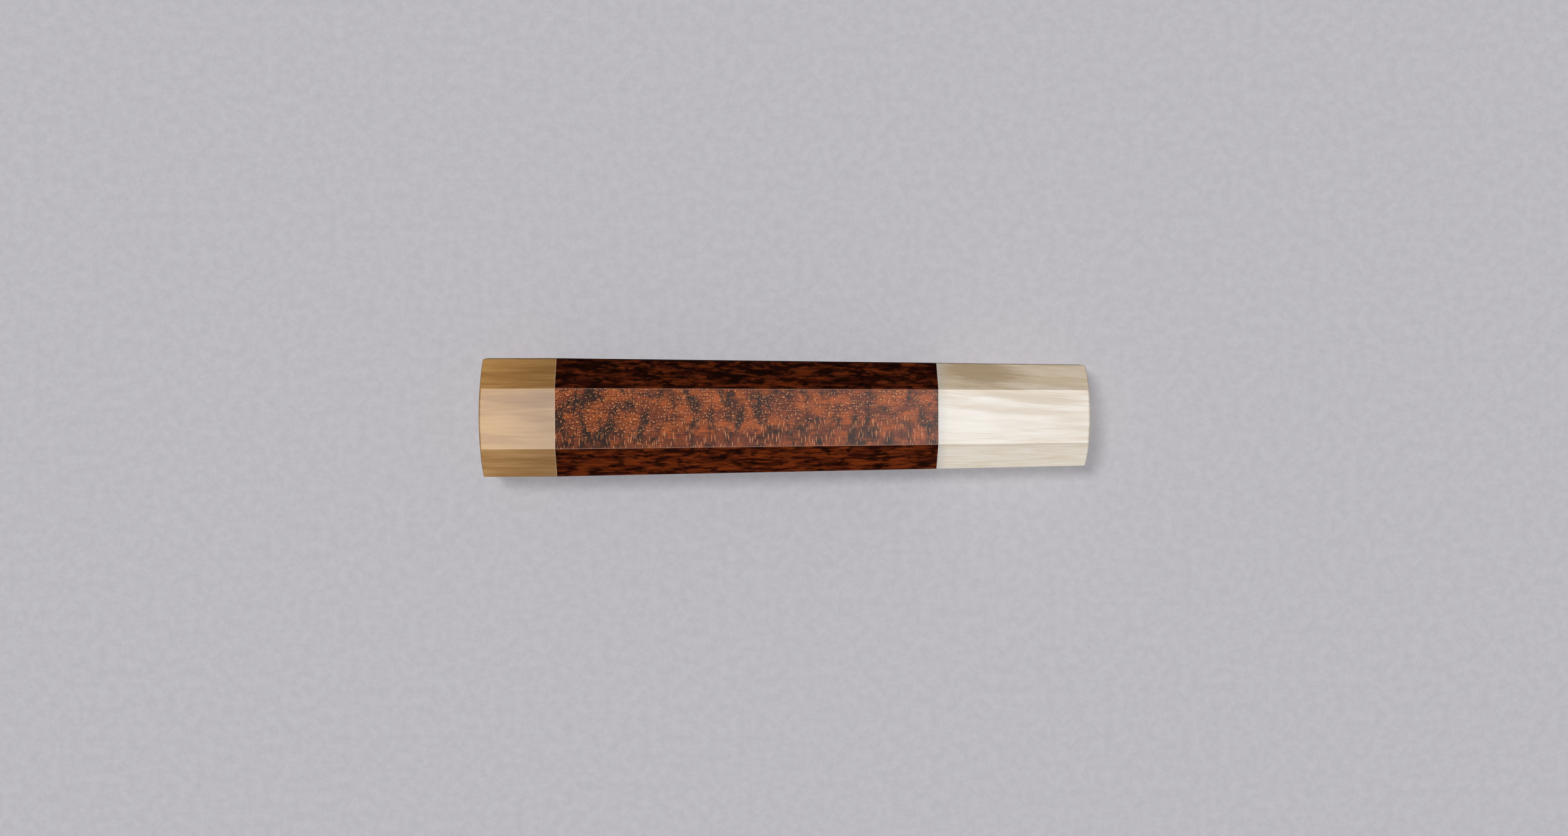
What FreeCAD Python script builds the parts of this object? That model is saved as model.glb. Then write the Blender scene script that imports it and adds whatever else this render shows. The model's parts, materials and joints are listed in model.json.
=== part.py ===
import FreeCAD, Part
import math
import os

# Octagonal knife handle: a horn end cap, a wooden body and a horn ferrule are
# threaded on one hardwood dowel and glued face to face.  The dowel is sawn
# open at the ferrule end, and the tang of the blade is glued into that slot.
#
# The handle is drawn along its own bore axis, with +X towards the ferrule,
# Y across the wide flats and Z through the thickness.  At the end it is tilted
# so that it lies on its lower wide flat, with that flat in the plane z = 0.

# Lengths along the handle, in mm
HANDLE_LENGTH = 135.3
CAP_LENGTH = 17.25
FERRULE_LENGTH = 34.15

# Width across the handle, and thickness between the two wide flats
BUTT_WIDTH = 26.05
BUTT_THICKNESS = 22.05
JOINT_WIDTH = 26.0
JOINT_THICKNESS = 22.0
FRONT_WIDTH = 22.3
FRONT_THICKNESS = 18.6

# Legs of the 45 degree bevels that turn the rectangle into an octagon
BUTT_BEVEL = 6.38
JOINT_BEVEL = 6.34
FRONT_BEVEL = 5.35

# The long edges are just broken, the ends are domed and their rims rounded
ARRIS_RADIUS = 0.2
BUTT_DOME_RADIUS = 90.0
FRONT_DOME_RADIUS = 66.0
BUTT_RIM_RADIUS = 0.3
FRONT_RIM_RADIUS = 0.4

# The dowel, the holes it is glued into, and its slot for the tang
DOWEL_RADIUS = 6.0
GLUE_GAP = 0.05
CAP_BORE_DEPTH = 9.0
REAR_DOWEL_CHAMFER = 0.5
SLOT_THICKNESS = 3.2
SLOT_DEPTH = 95.0

# Stations along the bore axis, measured from the middle of the handle
BUTT_X = -HANDLE_LENGTH / 2
CAP_JOINT_X = BUTT_X + CAP_LENGTH
FRONT_X = HANDLE_LENGTH / 2
FERRULE_JOINT_X = FRONT_X - FERRULE_LENGTH
DOWEL_REAR_X = CAP_JOINT_X - CAP_BORE_DEPTH

# Tool solids run this far past the faces they cut
OVERRUN = 1.0

ORIGIN = FreeCAD.Vector(0, 0, 0)
X_AXIS = FreeCAD.Vector(1, 0, 0)
Y_AXIS = FreeCAD.Vector(0, 1, 0)
Z_AXIS = FreeCAD.Vector(0, 0, 1)


def octagon(x, width, thickness, bevel):
    """Corners of a rectangle with bevelled corners, square to the bore axis at x."""
    y = width / 2
    z = thickness / 2
    corners = [
        (y, z - bevel),
        (y - bevel, z),
        (bevel - y, z),
        (-y, z - bevel),
        (-y, bevel - z),
        (bevel - y, -z),
        (y - bevel, -z),
        (y, bevel - z),
    ]
    return [FreeCAD.Vector(x, y_corner, z_corner) for y_corner, z_corner in corners]


def flat_face(corners):
    """Plane face with the given corners."""
    return Part.Face(Part.makePolygon(corners + [corners[0]]))


def tapered_bar(rear, front):
    """Eight-sided bar between two octagons, each given as (x, width, thickness, bevel)."""
    rear_corners = octagon(*rear)
    front_corners = octagon(*front)
    faces = [flat_face(rear_corners[::-1]), flat_face(front_corners)]
    for here in range(8):
        beside = (here + 1) % 8
        faces.append(flat_face([
            rear_corners[here],
            rear_corners[beside],
            front_corners[beside],
            front_corners[here],
        ]))
    shell = Part.makeShell(faces)
    shell.sewShape()
    return Part.makeSolid(shell)


def break_arrises(bar):
    """Round over the eight long edges of a bar."""
    long_edges = [edge for edge in bar.Edges if abs(edge.tangentAt(edge.FirstParameter).x) > 0.9]
    return bar.makeFillet(ARRIS_RADIUS, long_edges)


def taper_at(x):
    """Octagon of the one long taper that the body and the ferrule share."""
    share = (x - CAP_JOINT_X) / (FRONT_X - CAP_JOINT_X)
    width = JOINT_WIDTH + share * (FRONT_WIDTH - JOINT_WIDTH)
    thickness = JOINT_THICKNESS + share * (FRONT_THICKNESS - JOINT_THICKNESS)
    bevel = JOINT_BEVEL + share * (FRONT_BEVEL - JOINT_BEVEL)
    return (x, width, thickness, bevel)


def dome(apex_x, radius, facing):
    """Ball that meets the bore axis at apex_x; facing is +1 for the front, -1 for the butt."""
    ball = Part.makeSphere(radius)
    if facing > 0:
        # turn the seam of the ball away from the end face
        ball.rotate(ORIGIN, Z_AXIS, 180)
    ball.translate(FreeCAD.Vector(apex_x - facing * radius, 0, 0))
    return ball


def domed_block(rear, front, apex_x, dome_radius, rim_radius, facing):
    """Tapered bar with one domed end, a rounded rim and broken long edges."""
    bar = tapered_bar(rear, front)
    block = bar.common(dome(apex_x, dome_radius, facing))
    end_face = [face for face in block.Faces if isinstance(face.Surface, Part.Sphere)][0]
    rounded = block.makeFillet(rim_radius, end_face.Edges)
    return rounded.common(break_arrises(bar))


def rod(rear_x, front_x, radius):
    """Round rod on the bore axis."""
    return Part.makeCylinder(radius, front_x - rear_x, FreeCAD.Vector(rear_x, 0, 0), X_AXIS)


def make_end_cap():
    """Closed horn block with a blind hole for the rear of the dowel."""
    block = domed_block(
        (BUTT_X, BUTT_WIDTH, BUTT_THICKNESS, BUTT_BEVEL),
        (CAP_JOINT_X, JOINT_WIDTH, JOINT_THICKNESS, JOINT_BEVEL),
        BUTT_X, BUTT_DOME_RADIUS, BUTT_RIM_RADIUS, -1)
    return block.cut(rod(DOWEL_REAR_X, CAP_JOINT_X + OVERRUN, DOWEL_RADIUS + GLUE_GAP))


def make_handle_body():
    """Long wooden block, bored right through."""
    block = break_arrises(tapered_bar(taper_at(CAP_JOINT_X), taper_at(FERRULE_JOINT_X)))
    bore = rod(CAP_JOINT_X - OVERRUN, FERRULE_JOINT_X + OVERRUN, DOWEL_RADIUS + GLUE_GAP)
    return block.cut(bore)


def make_ferrule():
    """Horn block at the blade end, bored right through."""
    block = domed_block(
        taper_at(FERRULE_JOINT_X), taper_at(FRONT_X),
        FRONT_X, FRONT_DOME_RADIUS, FRONT_RIM_RADIUS, 1)
    return block.cut(rod(FERRULE_JOINT_X - OVERRUN, FRONT_X + OVERRUN, DOWEL_RADIUS + GLUE_GAP))


def make_core_dowel():
    """Through dowel, dressed flush with the ferrule's dome and slotted for the tang."""
    dowel = rod(DOWEL_REAR_X, FRONT_X, DOWEL_RADIUS)
    rear_rim = [edge for edge in dowel.Edges if edge.BoundBox.XMax < DOWEL_REAR_X + 0.1]
    dowel = dowel.makeChamfer(REAR_DOWEL_CHAMFER, rear_rim)
    # a ball as large as the ferrule's dome trims the front half only
    front_half = rod(0, FRONT_X, DOWEL_RADIUS + OVERRUN)
    waste = front_half.cut(dome(FRONT_X, FRONT_DOME_RADIUS, 1))
    dowel = dowel.cut(waste)
    slot = Part.makeBox(
        SLOT_DEPTH + OVERRUN,
        2 * (DOWEL_RADIUS + OVERRUN),
        SLOT_THICKNESS,
        FreeCAD.Vector(FRONT_X - SLOT_DEPTH, -DOWEL_RADIUS - OVERRUN, -SLOT_THICKNESS / 2))
    return dowel.cut(slot)


def lay_on_flat(shape):
    """Tilt the bore axis by half the taper and lift the lower wide flat to z = 0."""
    drop = (JOINT_THICKNESS - FRONT_THICKNESS) / 2
    tilt = math.atan2(drop, FRONT_X - CAP_JOINT_X)
    middle_thickness = taper_at(0.0)[2]
    laid = shape.copy()
    laid.rotate(ORIGIN, Y_AXIS, math.degrees(tilt))
    laid.translate(FreeCAD.Vector(0, 0, middle_thickness / 2 * math.cos(tilt)))
    return laid


nodes = {
    "end_cap": make_end_cap(),
    "handle_body": make_handle_body(),
    "ferrule": make_ferrule(),
    "core_dowel": make_core_dowel(),
}

os.makedirs("parts", exist_ok=True)
for name, shape in nodes.items():
    solid = lay_on_flat(shape.Solids[0])
    solid.exportStep("parts/" + name + ".step")
    print(name, "closed" if solid.isClosed() else "open", round(solid.Volume, 1), "mm3")
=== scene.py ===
# %% [markdown]
# # An octagonal knife handle
# A handle of this kind is a stack: a horn end cap, a long snakewood body and a
# horn ferrule, all glued on one hardwood dowel that is slotted for the tang.
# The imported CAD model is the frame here. It fixes every size, and what follows
# rebuilds each block as a finished piece in the same place, then gives it its
# material. Loading the frame comes first, because all positions come from it.

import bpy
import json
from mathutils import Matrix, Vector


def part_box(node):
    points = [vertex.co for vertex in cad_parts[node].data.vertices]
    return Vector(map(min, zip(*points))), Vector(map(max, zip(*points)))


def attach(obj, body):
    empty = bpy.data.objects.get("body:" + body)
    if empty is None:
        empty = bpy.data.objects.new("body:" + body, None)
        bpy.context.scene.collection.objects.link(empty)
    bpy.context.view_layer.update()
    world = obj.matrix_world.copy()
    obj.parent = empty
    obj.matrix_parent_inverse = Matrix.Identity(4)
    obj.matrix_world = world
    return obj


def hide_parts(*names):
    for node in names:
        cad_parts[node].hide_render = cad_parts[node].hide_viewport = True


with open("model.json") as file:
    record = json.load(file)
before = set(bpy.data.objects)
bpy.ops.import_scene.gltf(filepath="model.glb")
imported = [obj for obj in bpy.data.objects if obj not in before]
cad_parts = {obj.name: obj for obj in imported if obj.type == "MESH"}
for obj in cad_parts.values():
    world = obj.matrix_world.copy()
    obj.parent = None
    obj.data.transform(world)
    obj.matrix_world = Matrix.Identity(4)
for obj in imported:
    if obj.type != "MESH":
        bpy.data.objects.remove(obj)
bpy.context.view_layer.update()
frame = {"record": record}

# %% [markdown]
# The handle tapers, so when it lies on a wide flat its bore dips towards the
# ferrule. The record gives the mouth of the tang slot and the direction of the
# bore. Every block is modelled along a straight bore on the X axis, in metres
# and with the handle's middle at zero, and one matrix then lays it down.

# %% Where the bore runs
import json
import math

import bmesh
import bpy
from mathutils import Euler, Matrix, Vector

MM = 0.001
HANDLE_LENGTH = 135.3 * MM
tang_slot = [mount for mount in frame["record"]["mounts"] if mount["name"] == "tang_slot"][0]
bore_mouth = Vector(tang_slot["pos_m"])
bore_out = Vector(tang_slot["axis"]).normalized()
bore_dip = math.atan2(-bore_out.z, bore_out.x)
lay_down = (
    Matrix.Translation(bore_mouth)
    @ Matrix.Rotation(bore_dip, 4, "Y")
    @ Matrix.Translation((-HANDLE_LENGTH / 2, 0, 0))
)
print("the bore dips", round(math.degrees(bore_dip), 3), "degrees")

# %% [markdown]
# A maker saws the blank square, planes it to a taper and then planes the four
# corners to 45 degrees, which leaves eight flats. The sizes below are those of
# the octagon at the joint with the cap, at the front and at the butt. The body
# and the ferrule are planed together, so one straight taper runs through both.

# %% Sizes of the octagon along the handle
CAP_LENGTH = 17.25 * MM
FERRULE_LENGTH = 34.15 * MM
BUTT_X = -HANDLE_LENGTH / 2
FRONT_X = HANDLE_LENGTH / 2
CAP_JOINT_X = BUTT_X + CAP_LENGTH
FERRULE_JOINT_X = FRONT_X - FERRULE_LENGTH

BUTT_OCTAGON = (26.05 * MM, 22.05 * MM, 6.38 * MM)
JOINT_OCTAGON = (26.0 * MM, 22.0 * MM, 6.34 * MM)
FRONT_OCTAGON = (22.3 * MM, 18.6 * MM, 5.35 * MM)


def between(rear, front, share):
    """Width, thickness and bevel leg part of the way from one octagon to another."""
    return tuple(a + share * (b - a) for a, b in zip(rear, front))


def octagon_at(x):
    """Octagon of the finished handle at a place on the bore."""
    if x < CAP_JOINT_X:
        return between(BUTT_OCTAGON, JOINT_OCTAGON, (x - BUTT_X) / CAP_LENGTH)
    return between(JOINT_OCTAGON, FRONT_OCTAGON, (x - CAP_JOINT_X) / (FRONT_X - CAP_JOINT_X))


joint_sizes = [round(size / MM, 2) for size in octagon_at(FERRULE_JOINT_X)]
print("octagon at the ferrule joint, mm:", joint_sizes)

# %% [markdown]
# Each block is a skin over a row of octagonal loops, like the frames of a boat.
# A loop could be typed in as points, but an operator makes it better: a
# rectangle whose four corners are bevelled is the octagon, and a second, tiny
# bevel on the eight new corners is the broken edge that sanding leaves. The
# flats get a few extra points, so that the end faces can be domed later.

# %% One octagonal loop
ARRIS_RADIUS = 0.2 * MM
ARRIS_STEPS = 3
FLAT_CUTS = 7
SHORTEST_FLAT = 1.0 * MM
STAND_UP = Matrix(((0, 0, 1, 0), (1, 0, 0, 0), (0, 1, 0, 0), (0, 0, 0, 1)))


def new_block():
    """Empty block whose points carry the number of the loop that they belong to."""
    block = bmesh.new()
    block.verts.layers.int.new("loop")
    return block


def loop_verts(loop):
    """The points of a loop of edges."""
    return list({vert for edge in loop for vert in edge.verts})


def octagon_loop(block, x, octagon, inset=0.0):
    """Edges of one loop round the bore at x, with all eight sides moved in by inset."""
    width, thickness, leg = octagon
    width = width - 2 * inset
    thickness = thickness - 2 * inset
    leg = leg - (2 - math.sqrt(2)) * inset
    number = block.verts.layers.int["loop"]
    place = (
        Matrix.Translation((x, 0, 0))
        @ STAND_UP
        @ Matrix.Diagonal((width, thickness, 1, 1))
        @ Matrix.Rotation(math.pi / 4, 4, "Z")
    )
    bmesh.ops.create_circle(block, cap_ends=True, segments=4, radius=math.sqrt(0.5), matrix=place)
    for offset, steps in ((leg, 1), (ARRIS_RADIUS * math.tan(math.pi / 8), ARRIS_STEPS)):
        corners = [vert for vert in block.verts if vert[number] == 0]
        bmesh.ops.bevel(block, geom=corners, offset=offset, offset_type="OFFSET", affect="VERTICES",
                        segments=steps, profile=0.5, material=-1, clamp_overlap=False)
    faces = [face for face in block.faces if face.verts[0][number] == 0]
    bmesh.ops.delete(block, geom=faces, context="FACES_ONLY")
    edges = [edge for edge in block.edges if edge.verts[0][number] == 0]
    flats = [edge for edge in edges if edge.calc_length() > SHORTEST_FLAT]
    bmesh.ops.subdivide_edges(block, edges=flats, cuts=FLAT_CUTS)
    loop = [edge for edge in block.edges if edge.verts[0][number] == 0]
    this_number = max(vert[number] for vert in block.verts) + 1
    for vert in loop_verts(loop):
        vert[number] = this_number
    return loop


trial = new_block()
trial_loop = octagon_loop(trial, 0.0, JOINT_OCTAGON)
print("points in one loop:", len(loop_verts(trial_loop)), "faces left:", len(trial.faces))
trial.free()

# %% [markdown]
# Two more loops are needed. The bore is round, so its loop is an octagon whose
# points are drawn in to one distance from the axis, which leaves it as many
# points as the outer loop. The end faces are slightly domed with a rounded rim,
# so their points are pushed along the bore until they lie on a large ball, less
# the fall of the rim.

# %% Round loops and domed loops
BORE_RADIUS = 6.05 * MM
RIM_STEPS = 6


def draw_in(loop, radius, share=1.0):
    """Move a loop's points towards a circle round the bore."""
    for vert in loop_verts(loop):
        spoke = Vector((0, vert.co.y, vert.co.z))
        round_place = spoke.normalized() * radius
        vert.co.y += share * (round_place.y - vert.co.y)
        vert.co.z += share * (round_place.z - vert.co.z)
    return loop


def push_to_dome(loop, apex_x, dome_radius, facing, fall=0.0):
    """Move a loop's points along the bore on to the dome, then back by the fall of the rim."""
    centre_x = apex_x - facing * dome_radius
    for vert in loop_verts(loop):
        off_axis = vert.co.y ** 2 + vert.co.z ** 2
        vert.co.x = centre_x + facing * (math.sqrt(dome_radius ** 2 - off_axis) - fall)
    return loop


def domed_rim(block, apex_x, dome_radius, rim_radius, facing):
    """Loops that turn the corner from the long sides to the domed end face."""
    loops = []
    for step in range(RIM_STEPS + 1):
        turn = math.pi / 2 * step / RIM_STEPS
        inset = rim_radius * (1 - math.cos(turn))
        fall = rim_radius * (1 - math.sin(turn))
        loop = octagon_loop(block, apex_x, octagon_at(apex_x), inset)
        loops.append(push_to_dome(loop, apex_x, dome_radius, facing, fall))
    return loops


def skin_over(block, loops):
    """Bridge each loop to the next."""
    for loop, following in zip(loops, loops[1:]):
        bmesh.ops.bridge_loops(block, edges=loop + following)


def bore_loop(block, x):
    """Round loop of the bore at x."""
    return draw_in(octagon_loop(block, x, octagon_at(x)), BORE_RADIUS)


print("the bore is", round(2 * BORE_RADIUS / MM, 2), "mm across")

# %% [markdown]
# A skinned block becomes a piece in the same way each time: its faces are turned
# outwards, it is laid down on its flat, and edges that are really sharp, such as
# the glue joints, are marked so that shading stops there. The broken edges turn
# in steps of 15 degrees and stay smooth. A point attribute called arris keeps
# where those edges are, because hands polish them first and the materials use it.
# Its points are the ones with a very short step to a neighbour.

# %% Turn a skinned block into a finished piece
SHARP_ANGLE = math.radians(35)
ARRIS_STEP = 0.35 * ARRIS_RADIUS


def finish_block(block, name, node):
    """Make the object, lay it down and hand it to the frame."""
    bmesh.ops.recalc_face_normals(block, faces=block.faces)
    for edge in block.edges:
        edge.smooth = edge.calc_face_angle(0) < SHARP_ANGLE
    for face in block.faces:
        face.smooth = True
    arris = block.verts.layers.float.new("arris")
    for vert in block.verts:
        shortest = min(edge.calc_length() for edge in vert.link_edges)
        vert[arris] = 1.0 if shortest < ARRIS_STEP else 0.0
    bmesh.ops.transform(block, matrix=lay_down, verts=block.verts)
    mesh = bpy.data.meshes.new(name)
    block.to_mesh(mesh)
    block.free()
    piece = bpy.data.objects.new(name, mesh)
    bpy.context.scene.collection.objects.link(piece)
    even_shading = piece.modifiers.new("even_shading", "WEIGHTED_NORMAL")
    even_shading.keep_sharp = True
    even_shading.weight = 100
    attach(piece, "root")
    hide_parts(node)
    low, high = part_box(node)
    print(name, len(mesh.polygons), "faces; CAD node spans, mm:",
          [round((b - a) / MM, 2) for a, b in zip(low, high)])
    return piece


print("edges sharper than", round(math.degrees(SHARP_ANGLE)), "degrees stay sharp")

# %% [markdown]
# ## The body
# The body is the simplest block: an octagonal tube. Its loops run along the
# outside, turn in at the ferrule end, go back through the bore and meet the
# first loop again, so the skin closes on itself. Known fault: the two joint
# faces come out crossed over the bore, and the wall of the bore faces the wrong
# way. The cap, the ferrule and the dowel hide both in the assembled handle.

# %% Snakewood body
body_block = new_block()
body_loops = [
    octagon_loop(body_block, CAP_JOINT_X, octagon_at(CAP_JOINT_X)),
    octagon_loop(body_block, FERRULE_JOINT_X, octagon_at(FERRULE_JOINT_X)),
    bore_loop(body_block, FERRULE_JOINT_X),
    bore_loop(body_block, CAP_JOINT_X),
]
skin_over(body_block, body_loops + body_loops[:1])
snakewood_body = finish_block(body_block, "snakewood_body", "handle_body")

# %% [markdown]
# ## The ferrule
# The ferrule carries on the body's taper and ends in a dome with a softly
# rounded rim. The face between rim and bore is three more loops, each nearer to
# the round of the bore than the last, and all of them lie on the dome.

# %% Cream horn ferrule
FRONT_DOME_RADIUS = 66.0 * MM
FRONT_RIM_RADIUS = 0.4 * MM
ferrule_block = new_block()
ferrule_loops = [octagon_loop(ferrule_block, FERRULE_JOINT_X, octagon_at(FERRULE_JOINT_X))]
ferrule_loops += domed_rim(ferrule_block, FRONT_X, FRONT_DOME_RADIUS, FRONT_RIM_RADIUS, 1)
for share in (0.35, 0.7, 1.0):
    inner = octagon_loop(ferrule_block, FRONT_X, octagon_at(FRONT_X), FRONT_RIM_RADIUS)
    inner = draw_in(inner, BORE_RADIUS, share)
    ferrule_loops.append(push_to_dome(inner, FRONT_X, FRONT_DOME_RADIUS, 1))
ferrule_loops.append(bore_loop(ferrule_block, FERRULE_JOINT_X))
skin_over(ferrule_block, ferrule_loops + ferrule_loops[:1])
horn_ferrule = finish_block(ferrule_block, "horn_ferrule", "ferrule")

# %% [markdown]
# ## The end cap
# The cap is closed at the butt. Its loops shrink towards the middle of the dome,
# and the last small loop is filled with one face. On the other side the bore is
# blind, so it ends in a filled loop too.

# %% Tan horn end cap
BUTT_DOME_RADIUS = 90.0 * MM
BUTT_RIM_RADIUS = 0.3 * MM
CAP_BORE_DEPTH = 9.0 * MM
MIDDLE_RADIUS = 0.8 * MM
cap_block = new_block()
middle_loops = []
for share in (1.0, 0.75, 0.5, 0.25):
    inner = octagon_loop(cap_block, BUTT_X, octagon_at(BUTT_X), BUTT_RIM_RADIUS)
    inner = draw_in(inner, MIDDLE_RADIUS, share)
    middle_loops.append(push_to_dome(inner, BUTT_X, BUTT_DOME_RADIUS, -1))
cap_loops = middle_loops
cap_loops += domed_rim(cap_block, BUTT_X, BUTT_DOME_RADIUS, BUTT_RIM_RADIUS, -1)[::-1]
cap_loops.append(octagon_loop(cap_block, CAP_JOINT_X, octagon_at(CAP_JOINT_X)))
cap_loops.append(bore_loop(cap_block, CAP_JOINT_X))
cap_loops.append(bore_loop(cap_block, CAP_JOINT_X - CAP_BORE_DEPTH))
skin_over(cap_block, cap_loops)
bmesh.ops.holes_fill(cap_block, edges=[edge for edge in cap_block.edges if edge.is_boundary])
horn_cap = finish_block(cap_block, "horn_cap", "end_cap")

# %% [markdown]
# ## The dowel
# The dowel starts as a plain turned rod. A cone operator with two equal radii
# gives it, and a small chamfer at the rear helps it into the blind bore.

# %% Round rod
DOWEL_RADIUS = 6.0 * MM
DOWEL_SIDES = 96
REAR_CHAMFER = 0.5 * MM
REAR_X = CAP_JOINT_X - CAP_BORE_DEPTH
dowel_block = bmesh.new()
bmesh.ops.create_cone(
    dowel_block, cap_ends=True, cap_tris=False, segments=DOWEL_SIDES,
    radius1=DOWEL_RADIUS, radius2=DOWEL_RADIUS, depth=FRONT_X - REAR_X,
    matrix=Matrix.Translation(((FRONT_X + REAR_X) / 2, 0, 0)) @ STAND_UP)
rear_rim = [edge for edge in dowel_block.edges
            if all(vert.co.x < REAR_X + MM for vert in edge.verts)]
bmesh.ops.bevel(dowel_block, geom=rear_rim, offset=REAR_CHAMFER, offset_type="OFFSET",
                affect="EDGES", segments=1, profile=0.5, material=-1)
print("rod:", round((FRONT_X - REAR_X) / MM, 2), "mm long,", len(dowel_block.faces), "faces")

# %% [markdown]
# The rod is then sawn open from the front, to take the tang. Three cutting
# planes mark the kerf on its skin: one for each wall and one for the far end.

# %% Mark the kerf
SLOT_THICKNESS = 3.2 * MM
SLOT_DEPTH = 95.0 * MM
SLOT_END_X = FRONT_X - SLOT_DEPTH
ON_PLANE = 1e-7
for point, normal in (((0, 0, SLOT_THICKNESS / 2), (0, 0, 1)),
                      ((0, 0, -SLOT_THICKNESS / 2), (0, 0, 1)),
                      ((SLOT_END_X, 0, 0), (1, 0, 0))):
    everything = dowel_block.verts[:] + dowel_block.edges[:] + dowel_block.faces[:]
    bmesh.ops.bisect_plane(dowel_block, geom=everything, dist=ON_PLANE,
                           plane_co=point, plane_no=normal)


def in_kerf(face):
    """Whether a face lies between the two walls of the kerf and in front of its end."""
    middle = face.calc_center_median()
    return abs(middle.z) < SLOT_THICKNESS / 2 and middle.x > SLOT_END_X


kerf_skin = [face for face in dowel_block.faces if in_kerf(face)]
kerf_mouth = [face for face in kerf_skin if abs(face.normal.x) > 0.9]
kerf_sides = [face for face in kerf_skin if abs(face.normal.x) < 0.1]
print("faces in the kerf:", len(kerf_mouth), "at the mouth,", len(kerf_sides), "along the sides")

# %% [markdown]
# What the saw takes away is the strip of skin along each side. The strip of end
# face is pushed back to the depth of the slot instead, and pushing it makes the
# two walls. The push also closes the sides again, so those faces go too.

# %% Saw the slot out
SAME_POINT = 1e-6
bmesh.ops.delete(dowel_block, geom=kerf_sides, context="FACES")
pushed = bmesh.ops.extrude_face_region(dowel_block, geom=kerf_mouth, use_keep_orig=False)
moved = [part for part in pushed["geom"] if isinstance(part, bmesh.types.BMVert)]
bmesh.ops.translate(dowel_block, verts=moved, vec=(-SLOT_DEPTH, 0, 0))
left_at_mouth = [face for face in kerf_mouth if face.is_valid]
bmesh.ops.delete(dowel_block, geom=left_at_mouth, context="FACES_ONLY")
loose_sides = []
for face in dowel_block.faces:
    middle = face.calc_center_median()
    beyond_wall = abs(middle.y) > DOWEL_RADIUS * 0.9
    if in_kerf(face) and beyond_wall and middle.x > SLOT_END_X + MM:
        loose_sides.append(face)
bmesh.ops.delete(dowel_block, geom=loose_sides, context="FACES")
bmesh.ops.remove_doubles(dowel_block, verts=dowel_block.verts, dist=SAME_POINT)
print("open edges on the dowel:", sum(not edge.is_manifold for edge in dowel_block.edges))

# %% [markdown]
# The maker sands the dowel's end flush with the ferrule. Two insets give the two
# half-round ends points inside their outline, and those points are then pushed
# on to the same dome as the ferrule's face.

# %% Dress the dowel flush with the ferrule
DRESSED_RING = 0.7 * MM
tongue_ends = [face for face in dowel_block.faces
               if face.normal.x > 0.9 and face.calc_center_median().x > FRONT_X - MM]
for ring in range(2):
    bmesh.ops.inset_individual(dowel_block, faces=tongue_ends, thickness=DRESSED_RING)
end_verts = {vert for vert in dowel_block.verts if vert.co.x > FRONT_X - 0.01 * MM}
for vert in end_verts:
    off_axis = vert.co.y ** 2 + vert.co.z ** 2
    vert.co.x = FRONT_X - FRONT_DOME_RADIUS + math.sqrt(FRONT_DOME_RADIUS ** 2 - off_axis)
slotted_dowel = finish_block(dowel_block, "slotted_dowel", "core_dowel")

# %% [markdown]
# ## Materials
# Every material here is built from nodes, so the same few steps come back: add
# a node, set it, wire it. Short helpers keep the recipes readable. The patterns
# are measured in millimetres along the bore, because grain follows the blank
# that was sawn and not the tilted way in which the finished handle lies.

# %% Helpers for wiring nodes
def put(tree, kind, inputs=None, **settings):
    """Add a node, give it its settings, and wire or fill its inputs."""
    node = tree.nodes.new(kind)
    for name, value in settings.items():
        setattr(node, name, value)
    for key, value in (inputs or {}).items():
        if isinstance(value, bpy.types.NodeSocket):
            tree.links.new(value, node.inputs[key])
        else:
            node.inputs[key].default_value = value
    return node


def calc(tree, operation, first, second=0.0, third=0.0):
    """One sum on numbers."""
    node = put(tree, "ShaderNodeMath", {0: first, 1: second, 2: third}, operation=operation)
    return node.outputs[0]


def fade(tree, value, start, end, low=0.0, high=1.0):
    """Smooth step from low to high as a value goes from start to end."""
    inputs = {0: value, 1: start, 2: end, 3: low, 4: high}
    return put(tree, "ShaderNodeMapRange", inputs, interpolation_type="SMOOTHSTEP").outputs[0]


def blend(tree, share, first, second, how="MIX"):
    """Mix two colours, or two plain values."""
    node = put(tree, "ShaderNodeMix", {0: share, 6: first, 7: second},
               data_type="RGBA", blend_type=how, clamp_result=True)
    return node.outputs[2]


def colour(red, green, blue):
    """A colour in Blender's linear values."""
    return (red, green, blue, 1.0)


def on_vectors(tree, operation, first, second):
    """One sum on coordinates."""
    return put(tree, "ShaderNodeVectorMath", {0: first, 1: second}, operation=operation).outputs[0]


def stretch(tree, vector, sizes):
    """Coordinates divided by the size of a pattern along, across and through the blank."""
    return on_vectors(tree, "MULTIPLY", vector, tuple(1.0 / size for size in sizes))


def three_axes(tree, vector):
    """The three numbers of a coordinate or a direction."""
    return put(tree, "ShaderNodeSeparateXYZ", {0: vector}).outputs


def noise(tree, vector, detail=2.0, roughness=0.5):
    """Cloudy noise whose blobs are about as large as one unit of the coordinates."""
    return put(tree, "ShaderNodeTexNoise", {
        "Vector": vector, "Scale": 1.0, "Detail": detail, "Roughness": roughness})


def bore_coordinates(tree):
    """Millimetres along, across and through the blank, from the middle of the bore."""
    place, turn, _ = lay_down.decompose()
    read = put(tree, "ShaderNodeTexCoord").outputs["Object"]
    node = put(tree, "ShaderNodeMapping", {
        "Vector": read, "Location": place, "Rotation": turn.to_euler(), "Scale": (MM, MM, MM),
    }, vector_type="TEXTURE")
    return node.outputs[0]


def start_material(name):
    """New material with an empty tree, its shader, and the coordinates of the blank."""
    material = bpy.data.materials.new(name)
    material.use_nodes = True
    tree = material.node_tree
    shader = tree.nodes["Principled BSDF"]
    return material, tree, shader, bore_coordinates(tree)


print("middle of the bore, mm:", [round(part / MM, 3) for part in lay_down.translation])

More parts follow.
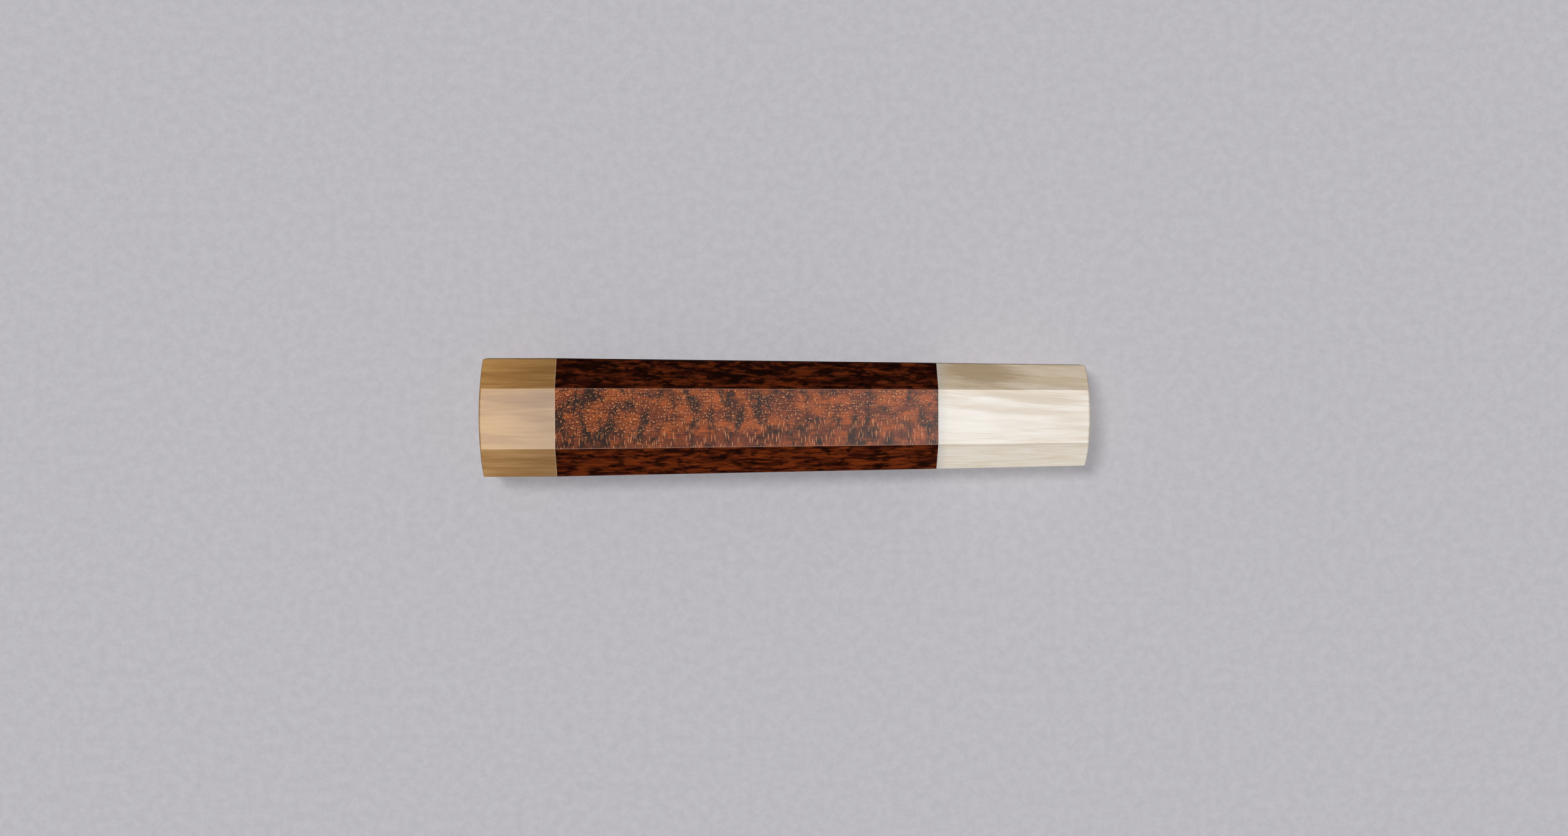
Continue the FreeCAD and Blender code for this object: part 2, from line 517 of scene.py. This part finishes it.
# %% [markdown]
# Three effects are shared. All four blanks show fine lines along their length:
# the fibres of the woods and the layers of the horn. The broken edges of the
# octagon are rubbed first by every cloth and hand. And the polished blocks have
# been buffed, which leaves faint cloudy differences in gloss and a brighter
# polish on those edges. Each effect is a node group that is built once and given
# its own numbers in each material.

# %% Shared groups: fibre lines, broken edges and hand polish
def start_group(name, inputs, outputs):
    """Empty shader node group with named sockets."""
    group = bpy.data.node_groups.new(name, "ShaderNodeTree")
    for socket_name, socket_kind, value in inputs:
        socket = group.interface.new_socket(socket_name, in_out="INPUT", socket_type=socket_kind)
        if value is not None:
            socket.default_value = value
    for socket_name, socket_kind in outputs:
        group.interface.new_socket(socket_name, in_out="OUTPUT", socket_type=socket_kind)
    return group, put(group, "NodeGroupInput").outputs, put(group, "NodeGroupOutput").inputs


fibre_group, given, result = start_group(
    "fibre_lines",
    [("Vector", "NodeSocketVector", None), ("Length", "NodeSocketFloat", 8.0),
     ("Thickness", "NodeSocketFloat", 0.15), ("Detail", "NodeSocketFloat", 2.0)],
    [("Value", "NodeSocketFloat")])
along = calc(fibre_group, "DIVIDE", 1.0, given["Length"])
across = calc(fibre_group, "DIVIDE", 1.0, given["Thickness"])
fibre_scale = put(fibre_group, "ShaderNodeCombineXYZ", {0: along, 1: across, 2: across}).outputs[0]
fibre_place = on_vectors(fibre_group, "MULTIPLY", given["Vector"], fibre_scale)
fibre_noise = noise(fibre_group, fibre_place, given["Detail"], 0.6)
fibre_group.links.new(fibre_noise.outputs[0], result["Value"])

edge_group, given, result = start_group(
    "broken_edges", [("Reach", "NodeSocketFloat", 0.14)], [("Value", "NodeSocketFloat")])
edge = put(edge_group, "ShaderNodeAttribute", attribute_name="arris").outputs["Fac"]
edge = fade(edge_group, edge, calc(edge_group, "SUBTRACT", 1.0, given["Reach"]), 0.99)
edge_group.links.new(edge, result["Value"])

polish_group, given, result = start_group(
    "hand_polish",
    [("Vector", "NodeSocketVector", None), ("Roughness", "NodeSocketFloat", 0.3),
     ("Variation", "NodeSocketFloat", 0.06), ("Arris Polish", "NodeSocketFloat", 0.08)],
    [("Roughness", "NodeSocketFloat")])
cloud = noise(polish_group, stretch(polish_group, given["Vector"], (7.0, 3.0, 3.0)), 3.0).outputs[0]
cloud = calc(polish_group, "MULTIPLY_ADD", cloud, 2.0, -1.0)
cloudy = calc(polish_group, "MULTIPLY_ADD", cloud, given["Variation"], given["Roughness"])
edge = put(polish_group, "ShaderNodeGroup", node_tree=edge_group).outputs[0]
polished = calc(polish_group, "MULTIPLY", edge, given["Arris Polish"])
polish_group.links.new(calc(polish_group, "SUBTRACT", cloudy, polished), result["Roughness"])


def use_group(tree, group, inputs):
    """Place a shared group in a material."""
    return put(tree, "ShaderNodeGroup", inputs, node_tree=group).outputs[0]


print("shared groups:", [group.name for group in bpy.data.node_groups])

# %% [markdown]
# ### Snakewood
# Snakewood is red-brown and very dense, with blackish patches like the markings
# of a snake. In this blank the patches lie in thin layers that are almost
# parallel to the wide flats. So a wide flat, cut along a layer, shows broad
# blotches, while the bevels, cut across the layers, show the same patches as
# thin dark streaks. One solid noise, flattened through the thickness, gives both.
# Two finer noises fray the edges of the patches. All sizes here are millimetres
# along, across and through the blank.

# %% Snakewood: where the snake patches lie
PATCH_SIZE = (3.1, 6.4, 0.95)
FRAYED_SIZE = (1.8, 0.3, 0.3)
MOTTLE_SIZE = (1.3, 1.0, 0.4)
BEVEL_FACES_UP, FLAT_FACES_UP = 0.80, 0.98
snakewood, tree, shader, blank = start_material("oiled_snakewood")
axes = three_axes(tree, blank)


def wander(sizes, reach, detail):
    """A shift in millimetres that varies over distances of the given sizes."""
    cloud = noise(tree, stretch(tree, blank, sizes), detail).outputs["Color"]
    middle = on_vectors(tree, "SUBTRACT", cloud, (0.5, 0.5, 0.5))
    return on_vectors(tree, "MULTIPLY", middle, reach)


def frayed_by(field, sizes, detail, roughness, depth):
    """The patches' noise, roughened by a finer one."""
    fine = noise(tree, stretch(tree, blank, sizes), detail, roughness).outputs[0]
    return calc(tree, "MULTIPLY_ADD", calc(tree, "SUBTRACT", fine, 0.5), depth, field)


broad_shift = wander((9.0, 8.0, 6.0), (3.6, 4.0, 1.2), 1.0)
fine_shift = wander((1.3, 1.0, 0.8), (1.2, 1.2, 0.2), 2.0)
wavy = on_vectors(tree, "ADD", blank, on_vectors(tree, "ADD", broad_shift, fine_shift))
patches = noise(tree, stretch(tree, wavy, PATCH_SIZE), 3.0, 0.55).outputs[0]
patches = frayed_by(patches, FRAYED_SIZE, 2.0, 0.5, 0.20)
patches = frayed_by(patches, MOTTLE_SIZE, 3.0, 0.6, 0.24)
# Painted shade: a few more dark patches on the upper side, so that side reads darker, as the side
# turned away from the light.
shaded_upper_side = fade(tree, axes[1], 6.5, 9.5, 0.0, 0.05)
snake_patch = fade(tree, calc(tree, "SUBTRACT", patches, shaded_upper_side), 0.565, 0.345)

normal = put(tree, "ShaderNodeNewGeometry").outputs["Normal"]
faces_up = calc(tree, "ABSOLUTE", three_axes(tree, normal)[2])
wide_flat = fade(tree, faces_up, BEVEL_FACES_UP, FLAT_FACES_UP)
print("snake patches, mm:", PATCH_SIZE)

# %% [markdown]
# Between the patches the wood goes from a deep brown-red to brick, in cloudy layers. The bevels are
# painted much darker and redder than the wide flats, as painted shade, and the flats paler, as
# painted light. So there are a lit and a shaded set of colours, and the way a face points picks
# between them.
# Fine dark and bright fibre lines run along everything, and the patches are laid
# over them.

# %% Snakewood: ground, fibres and patches
PATCH_COVER = 0.95
# Lit and shaded copies of the wood's colours: the flat ones carry painted light, the bevel ones
# painted shade.
lit_flat_deep, lit_flat_brick = colour(0.19, 0.036, 0.009), colour(0.45, 0.092, 0.013)
shaded_bevel_deep, shaded_bevel_brick = colour(0.036, 0.0032, 0.0003), colour(0.165, 0.0235, 0.0010)
dark_fibre, bright_fibre = colour(0.020, 0.0034, 0.0006), colour(0.40, 0.078, 0.004)
shaded_bevel_black, lit_flat_black = colour(0.0095, 0.0013, 0.0002), colour(0.020, 0.0070, 0.0035)
warm = noise(tree, stretch(tree, wavy, (6.0, 3.0, 0.7)), 3.0).outputs[0]
warm = fade(tree, warm, 0.36, 0.62)
lines = use_group(tree, fibre_group, {"Vector": blank, "Length": 5.0, "Thickness": 0.12})
ground = blend(tree, wide_flat, blend(tree, warm, shaded_bevel_deep, shaded_bevel_brick),
               blend(tree, warm, lit_flat_deep, lit_flat_brick))
ground = blend(tree, fade(tree, lines, 0.45, 0.68, 0.0, 0.75), ground, dark_fibre)
bright = calc(tree, "MULTIPLY", fade(tree, lines, 0.44, 0.30), fade(tree, warm, 0.2, 0.8))
ground = blend(tree, calc(tree, "MULTIPLY", bright, 0.55), ground, bright_fibre)
# The patches' black also has a lit copy for the flats and a painted shade copy for the bevels.
dark_wood = blend(tree, wide_flat, shaded_bevel_black, lit_flat_black)
figure = blend(tree, calc(tree, "MULTIPLY", snake_patch, PATCH_COVER), ground, dark_wood)
print("patches hide", PATCH_COVER, "of the ground")

# %% [markdown]
# The wide flats also carry pale flecks, taken here for the ends of the rays.
# They are dots, and towards one side of the flat they draw out into upright
# dashes. Cells of a Voronoi pattern place them: each cell has one
# nearest point, and a small distance from it is a fleck. A noise shakes the
# rows of dots and makes the dashes sway, and the lower flat reads the pattern
# from another place, so the two flats are not the same.

# %% Snakewood: one layer of ray flecks
DOT_LEAN = -0.20
LOWER_FLAT_SHIFT = 31.7
lower_flat = calc(tree, "LESS_THAN", axes[2], 0.0)
start = calc(tree, "MULTIPLY_ADD", lower_flat, LOWER_FLAT_SHIFT, axes[0])
sway = noise(tree, stretch(tree, blank, (3.0, 1.6, 4.0)), 1.0).outputs[0]
upright = calc(tree, "MULTIPLY_ADD", sway, 0.6, start)
shake = noise(tree, stretch(tree, blank, (1.0, 0.8, 4.0)), 1.0).outputs[0]
shake = calc(tree, "MULTIPLY_ADD", shake, 1.1, -0.55)
leaning = calc(tree, "MULTIPLY_ADD", axes[1], DOT_LEAN, calc(tree, "ADD", start, shake))


def flecks(width, height, radius, place_along):
    """Flecks in cells of the given size: their mask, a thin rim round each, and a tone."""
    cell_x = calc(tree, "DIVIDE", place_along, width)
    cell_y = calc(tree, "DIVIDE", axes[1], height)
    place = put(tree, "ShaderNodeCombineXYZ", {0: cell_x, 1: cell_y}).outputs[0]
    cells = put(tree, "ShaderNodeTexVoronoi", {"Vector": place, "Scale": 1.0, "Randomness": 1.0},
                voronoi_dimensions="2D")
    tone = put(tree, "ShaderNodeSeparateColor", {0: cells.outputs["Color"]}).outputs
    size = calc(tree, "MULTIPLY_ADD", tone[1], radius * 0.6, radius * 0.7)
    near = calc(tree, "DIVIDE", cells.outputs["Distance"], size)
    rim = calc(tree, "MULTIPLY", fade(tree, near, 1.0, 1.3), fade(tree, near, 2.3, 1.5))
    return fade(tree, near, 1.0, 0.35), rim, tone[0]


dots, dot_rims, dot_tone = flecks(0.58, 0.66, 0.295, leaning)
dashes, dash_rims, dash_tone = flecks(0.42, 3.4, 0.27, upright)
print("nodes so far:", len(tree.nodes))

# %% [markdown]
# The border between dots and dashes is ragged, and it climbs towards the
# ferrule. The flecks also thin out that way, in drifts. Each has a thin dark rim
# that sets it off from the wood round it.

# %% Snakewood: flecks over the figure
CLIMB = -0.045
THINNING = 0.006
border = noise(tree, stretch(tree, blank, (5.0, 3.0, 9.0)), 2.0).outputs[0]
border = calc(tree, "MULTIPLY_ADD", border, 13.0, axes[1])
border = calc(tree, "MULTIPLY_ADD", axes[0], CLIMB, border)
in_dashes = fade(tree, border, 5.8, 4.6)
fleck = blend(tree, in_dashes, dots, dashes)
rim = blend(tree, in_dashes, dot_rims, dash_rims)
tone = blend(tree, in_dashes, dot_tone, dash_tone)
drift = noise(tree, stretch(tree, blank, (9.0, 3.5, 9.0)), 1.0).outputs[0]
drift = calc(tree, "MULTIPLY_ADD", axes[0], THINNING, drift)
strong = fade(tree, calc(tree, "SUBTRACT", tone, drift), -0.20, 0.10)
seen = calc(tree, "MULTIPLY", calc(tree, "MULTIPLY_ADD", strong, 0.74, 0.12), wide_flat)
fleck = calc(tree, "MULTIPLY", fleck, seen)
fleck = calc(tree, "MULTIPLY", fleck, fade(tree, snake_patch, 0.2, 1.0, 1.0, 0.70))
rim = calc(tree, "MULTIPLY", calc(tree, "MULTIPLY", rim, seen), 0.55)
figure = blend(tree, rim, figure, dark_wood)
fleck_colour = blend(tree, dot_tone, colour(0.58, 0.16, 0.035), colour(0.68, 0.30, 0.12))
figure = blend(tree, fleck, figure, fleck_colour)
print("nodes with the flecks laid on:", len(tree.nodes))

# %% [markdown]
# A painted highlight runs pale along the long broken edges, most on the edges of the wide flats,
# where the rounded edge catches the light. The surface is oiled and buffed: a soft gloss, the
# fibres just sunk and the flecks just proud.

# %% Snakewood: painted edge highlight, gloss and relief
# Painted highlight: broken edges that face up are painted paler, as where they catch the light.
arris_highlight = use_group(tree, edge_group, {"Reach": 0.09})
arris_highlight = calc(tree, "MULTIPLY", arris_highlight, fade(tree, faces_up, 0.72, 0.85, 0.08, 0.45))
figure = blend(tree, arris_highlight, figure, colour(0.34, 0.19, 0.14))
wood_gloss = use_group(tree, polish_group, {
    "Vector": blank, "Roughness": 0.34, "Variation": 0.05, "Arris Polish": 0.08})
relief = calc(tree, "MULTIPLY_ADD", fleck, 0.5, calc(tree, "MULTIPLY", lines, -0.5))
bump = put(tree, "ShaderNodeBump", {"Height": relief, "Strength": 0.35, "Distance": 0.05 * MM})
tree.links.new(figure, shader.inputs["Base Color"])
tree.links.new(wood_gloss, shader.inputs["Roughness"])
tree.links.new(bump.outputs[0], shader.inputs["Normal"])
shader.inputs["IOR"].default_value = 1.45
snakewood_body.data.materials.append(snakewood)
print("snakewood nodes:", len(tree.nodes))

# %% [markdown]
# ### Horn
# Horn grows in layers along its length, so it shows long soft streaks with very
# fine lines inside them. Both blocks use the same recipe: broad streaks, fine
# lines, and a little light that enters and comes out again nearby. The colours
# and the tilt of the streaks are what differ.

# %% Horn: the shared recipe
STREAK_LENGTH, STREAK_WIDTH = 26.0, 2.6
LAYER_LENGTH, LAYER_WIDTH = 13.0, 0.24
HORN_IOR = 1.55


def streaky_horn(tree, grain, pale, deep, wisp):
    """Broad soft streaks from pale to deep, with thin wisps of a third colour."""
    broad = use_group(tree, fibre_group, {
        "Vector": grain, "Length": STREAK_LENGTH, "Thickness": STREAK_WIDTH, "Detail": 3.0})
    fine = use_group(tree, fibre_group, {
        "Vector": grain, "Length": LAYER_LENGTH, "Thickness": LAYER_WIDTH, "Detail": 3.0})
    body = blend(tree, fade(tree, broad, 0.34, 0.66), pale, deep)
    gathered = fade(tree, broad, 0.55, 0.40)
    wisps = calc(tree, "MULTIPLY", fade(tree, fine, 0.50, 0.70), gathered)
    body = blend(tree, calc(tree, "MULTIPLY", wisps, 0.5), body, wisp)
    thin_dark = calc(tree, "MULTIPLY", fade(tree, fine, 0.46, 0.30), 0.28)
    return blend(tree, thin_dark, body, deep, how="MULTIPLY"), fine


def polish_horn(tree, shader, blank, fine):
    """Buffed gloss, with the layers just felt in the surface."""
    gloss = use_group(tree, polish_group, {
        "Vector": blank, "Roughness": 0.26, "Variation": 0.05, "Arris Polish": 0.06})
    tree.links.new(gloss, shader.inputs["Roughness"])
    relief = put(tree, "ShaderNodeBump", {"Height": fine, "Strength": 0.2, "Distance": 0.02 * MM})
    tree.links.new(relief.outputs[0], shader.inputs["Normal"])
    shader.inputs["IOR"].default_value = HORN_IOR
    shader.inputs["Subsurface Weight"].default_value = 0.15
    shader.inputs["Subsurface Scale"].default_value = 1.5 * MM
    shader.inputs["Subsurface Radius"].default_value = (1.0, 0.7, 0.4)


print("streaks of horn, mm:", STREAK_LENGTH, "by", STREAK_WIDTH)

# %% [markdown]
# The cap is a tan piece that gets lighter towards the butt, and it is more golden on its upper
# side. At its joint the horn ends in a hair-thin pale line, partly the glue and thin horn edge,
# partly a painted highlight where that edge catches the light.

# %% Tan horn for the cap
BUTT_MM, CAP_JOINT_MM = BUTT_X / MM, CAP_JOINT_X / MM
cap_horn, tree, shader, blank = start_material("tan_horn")
tan_pale, tan_deep = colour(0.58, 0.340, 0.136), colour(0.42, 0.222, 0.080)
body, fine = streaky_horn(tree, blank, tan_pale, tan_deep, colour(0.65, 0.42, 0.205))
axes = three_axes(tree, blank)
upper_side = fade(tree, axes[1], 4.0, 8.0)
body = blend(tree, upper_side, body, colour(1.0, 0.93, 0.72), how="MULTIPLY")
towards_joint = fade(tree, axes[0], BUTT_MM + 1.0, CAP_JOINT_MM)
body = blend(tree, towards_joint, body, colour(0.73, 0.72, 0.74), how="MULTIPLY")
# Pale joint line: the glue and the thin horn edge, with a painted highlight on it.
joint_glue_and_highlight = fade(tree, axes[0], CAP_JOINT_MM - 0.20, CAP_JOINT_MM - 0.10, 0.0, 0.55)
body = blend(tree, joint_glue_and_highlight, body, colour(0.55, 0.38, 0.24))
tree.links.new(body, shader.inputs["Base Color"])
polish_horn(tree, shader, blank, fine)
horn_cap.data.materials.append(cap_horn)
print("tan horn nodes:", len(tree.nodes))

# %% [markdown]
# The ferrule is almost white. Its streaks run downhill towards the blade on one side and straighten
# out on the other, so they fan. The middle of the wide flat is the whitest and the upper side is
# browner. The lower bevel is warmer horn, painted brighter as painted light from below, and its
# bright layers are partly the horn's layers and partly a painted glare.

# %% Cream horn: fanned streaks
ferrule_horn, tree, shader, blank = start_material("cream_horn")
axes = three_axes(tree, blank)
from_joint = calc(tree, "SUBTRACT", axes[0], FERRULE_JOINT_X / MM)
fan = fade(tree, axes[1], -5.0, 7.0, 0.01, 0.13)
fanned_y = calc(tree, "MULTIPLY_ADD", from_joint, fan, axes[1])
grain = put(tree, "ShaderNodeCombineXYZ", {0: axes[0], 1: fanned_y, 2: axes[2]}).outputs[0]
cream_pale, cream_deep = colour(0.78, 0.72, 0.64), colour(0.61, 0.51, 0.39)
body, fine = streaky_horn(tree, grain, cream_pale, cream_deep, colour(0.90, 0.87, 0.82))
upper_side = fade(tree, axes[1], 4.5, 7.5, 0.0, 0.40)
body = blend(tree, upper_side, body, colour(0.84, 0.620, 0.360))
from_middle = calc(tree, "ABSOLUTE", calc(tree, "ADD", axes[1], 1.0))
whitest = calc(tree, "MULTIPLY", fade(tree, from_middle, 4.0, 0.5),
               fade(tree, from_joint, 26.0, 4.0, 0.25, 0.6))
body = blend(tree, whitest, body, colour(0.84, 0.80, 0.74))
# Painted light: the lower side is painted warmer and brighter, as if lit from below. Its bright
# layers are partly a painted glare.
lit_lower_side = fade(tree, axes[1], -5.0, -7.5, 0.0, 0.58)
body = blend(tree, lit_lower_side, body, colour(1.00, 0.870, 0.680))
bright_layers_and_glare = calc(tree, "MULTIPLY", lit_lower_side, fade(tree, fine, 0.40, 0.60))
body = blend(tree, bright_layers_and_glare, body, colour(1.00, 0.965, 0.89))
print("cream horn nodes so far:", len(tree.nodes))

# %% [markdown]
# One brownish cloud lies along an upper bevel, near the body. It is an
# egg-shaped distance from a point, torn by the fibres. The first millimetres of
# the horn at the joint also take a cool tint.

# %% Cream horn: the brown cloud and the joint
CLOUD_MIDDLE = (42.0, 11.2, 6.6)
CLOUD_SIZE = (13.5, 5.0, 7.5)
offset = stretch(tree, on_vectors(tree, "SUBTRACT", grain, CLOUD_MIDDLE), CLOUD_SIZE)
how_far = put(tree, "ShaderNodeVectorMath", {0: offset}, operation="LENGTH").outputs["Value"]
torn = use_group(tree, fibre_group, {
    "Vector": grain, "Length": 9.0, "Thickness": 0.7, "Detail": 4.0})
how_far = calc(tree, "MULTIPLY_ADD", torn, 1.1, how_far)
brown_cloud = fade(tree, how_far, 1.60, 0.85, 0.0, 0.8)
body = blend(tree, brown_cloud, body, colour(0.44, 0.31, 0.170))
shown_through = fade(tree, from_joint, 2.6, 0.0, 0.0, 0.45)
body = blend(tree, shown_through, body, colour(0.50, 0.50, 0.47))
tree.links.new(body, shader.inputs["Base Color"])
polish_horn(tree, shader, blank, fine)
horn_ferrule.data.materials.append(ferrule_horn)
print("cream horn nodes:", len(tree.nodes))

# %% [markdown]
# ### The dowel's wood
# Plain pale hardwood, sawn and not polished. Its end face shows growth rings, so
# a ring wave runs round a pith that lies well outside the dowel.

# %% Pale hardwood for the dowel
PITH = (0.0, -14.0, 9.0)
dowel_wood, tree, shader, blank = start_material("pale_hardwood")
lines = use_group(tree, fibre_group, {"Vector": blank, "Length": 5.0, "Thickness": 0.12})
around = on_vectors(tree, "SUBTRACT", blank, PITH)
rings = put(tree, "ShaderNodeTexWave", {
    "Vector": around, "Scale": 0.28, "Distortion": 1.2, "Detail": 2.0,
}, wave_type="RINGS", rings_direction="X", wave_profile="SAW").outputs[1]
body = blend(tree, fade(tree, rings, 0.2, 1.0), colour(0.60, 0.45, 0.28), colour(0.44, 0.30, 0.17))
fibres = calc(tree, "MULTIPLY", fade(tree, lines, 0.5, 0.75), 0.5)
body = blend(tree, fibres, body, colour(0.36, 0.24, 0.13))
tree.links.new(body, shader.inputs["Base Color"])
dowel_gloss = fade(tree, lines, 0.2, 0.8, 0.55, 0.75)
tree.links.new(dowel_gloss, shader.inputs["Roughness"])
saw_marks = put(tree, "ShaderNodeBump", {"Height": lines, "Strength": 0.4, "Distance": 0.05 * MM})
tree.links.new(saw_marks.outputs[0], shader.inputs["Normal"])
slotted_dowel.data.materials.append(dowel_wood)
print("materials:", [material.name for material in bpy.data.materials])

# %% [markdown]
# ## The studio
# The handle lies on a plain pale table. The floor is one large plane just under
# the handle, with the faint tooth of matt card. It is hidden from reflections,
# so that the sheen of polished faces comes from the lamps alone.

# %% Floor
FLOOR_REACH = 1.6
FLOOR_GAP = 0.02 * MM
TOOTH = 2.2 * MM
floor_block = bmesh.new()
bmesh.ops.create_grid(floor_block, x_segments=4, y_segments=4, size=FLOOR_REACH)
bmesh.ops.translate(floor_block, verts=floor_block.verts, vec=(0, 0, -FLOOR_GAP))
floor_mesh = bpy.data.meshes.new("table_top")
floor_block.to_mesh(floor_mesh)
floor_block.free()
table_top = bpy.data.objects.new("table_top", floor_mesh)
bpy.context.scene.collection.objects.link(table_top)

card = bpy.data.materials.new("pale_card")
card.use_nodes = True
tree = card.node_tree
shader = tree.nodes["Principled BSDF"]
read = put(tree, "ShaderNodeTexCoord").outputs["Object"]
tooth = noise(tree, stretch(tree, read, (TOOTH, TOOTH, TOOTH)), 4.0, 0.75).outputs[0]
card_colour = blend(tree, fade(tree, tooth, 0.3, 0.7),
                    colour(0.570, 0.558, 0.592), colour(0.630, 0.617, 0.652))
tree.links.new(card_colour, shader.inputs["Base Color"])
shader.inputs["Roughness"].default_value = 0.9
shader.inputs["Specular IOR Level"].default_value = 0.1
table_top.data.materials.append(card)
table_top.visible_glossy = False
print("floor is", 2 * FLOOR_REACH, "m wide")

# %% [markdown]
# Studio light is chosen separately for each thing, by telling each lamp what it
# lights. Polished horn takes a broad softbox, so its wide flat carries a sheen
# from end to end, and a weak card from the side lifts its upper bevel. The oiled
# wood takes a narrower softbox placed towards the ferrule, so its sheen grows
# that way and the bevels stay deep. The table gets an even light from just
# beside the camera, and a softer one from a corner, which draws the short soft
# shadow.

# %% Lamps
AIM = Vector((0, 0, 10 * MM))


def lit_set(name, things):
    """A collection that tells a lamp what it lights."""
    group = bpy.data.collections.new(name)
    for thing in things:
        group.objects.link(thing)
    return group


def add_lamp(name, kind, away, power, lights_up, size=(0.0, 0.0), spread=0.0):
    """A lamp that looks at the handle's middle and lights one set of things."""
    lamp = bpy.data.lights.new(name, kind)
    lamp.energy = power
    if kind == "AREA":
        lamp.shape = "RECTANGLE"
        lamp.size, lamp.size_y = size
    else:
        lamp.angle = spread
    holder = bpy.data.objects.new(name, lamp)
    holder.location = away
    look = AIM - holder.location
    holder.rotation_euler = look.to_track_quat("-Z", "Y").to_euler()
    bpy.context.scene.collection.objects.link(holder)
    holder.light_linking.receiver_collection = lights_up
    return holder


wood_set = lit_set("lit_wood", [snakewood_body, slotted_dowel])
horn_set = lit_set("lit_horn", [horn_ferrule, horn_cap])
table_set = lit_set("lit_table", [table_top])
lamps = [
    add_lamp("wood_softbox", "AREA", (0.57, -0.20, 0.95), 13.2, wood_set, size=(0.60, 0.70)),
    add_lamp("horn_softbox", "AREA", (0.05, -0.12, 0.95), 9.0, horn_set, size=(0.80, 0.90)),
    add_lamp("horn_side_card", "AREA", (-0.05, 0.80, 0.40), 0.7, horn_set, size=(0.60, 0.40)),
    add_lamp("table_light", "SUN", (-0.012, 0.073, 2.0), 1.3, table_set, spread=math.radians(2)),
    add_lamp("corner_softbox", "SUN", (-0.27, 0.21, 1.0), 1.0, table_set, spread=math.radians(13)),
]
print("lamps:", [lamp.name for lamp in lamps])

# %% [markdown]
# The room round the table is dim, and darker still in a reflection, so that the
# bevels don't turn grey. Seen directly, beyond the edge of the table, it has the
# table's colour.

# %% Room
world = bpy.data.worlds.new("studio")
bpy.context.scene.world = world
world.use_nodes = True
tree = world.node_tree
backdrop = tree.nodes["Background"]
ray = put(tree, "ShaderNodeLightPath").outputs
dim, mirrored, seen_directly = (
    colour(0.12, 0.12, 0.125), colour(0.006, 0.006, 0.006), colour(0.50, 0.49, 0.52))
room = blend(tree, ray["Is Glossy Ray"], dim, mirrored)
room = blend(tree, ray["Is Camera Ray"], room, seen_directly)
tree.links.new(room, backdrop.inputs["Color"])
bpy.context.scene.view_settings.view_transform = "Standard"
print("view transform:", bpy.context.scene.view_settings.view_transform)

# %% [markdown]
# The camera looks almost straight down from a little towards one side of the
# handle, from about 0.6 m, with a moderately long lens.

# %% Camera
camera = bpy.data.objects.new("camera", bpy.data.cameras.new("camera"))
bpy.context.scene.collection.objects.link(camera)
camera.location = (-3.71 * MM, 21.89 * MM, 600.75 * MM)
camera.rotation_euler = Euler((-0.037775, -0.006109, -0.003175))
camera.data.lens = 60.89
camera.data.sensor_width = 36
camera.data.clip_start = 0.01
bpy.context.scene.camera = camera
print("the camera is", round(camera.location.length, 3), "m from the handle")
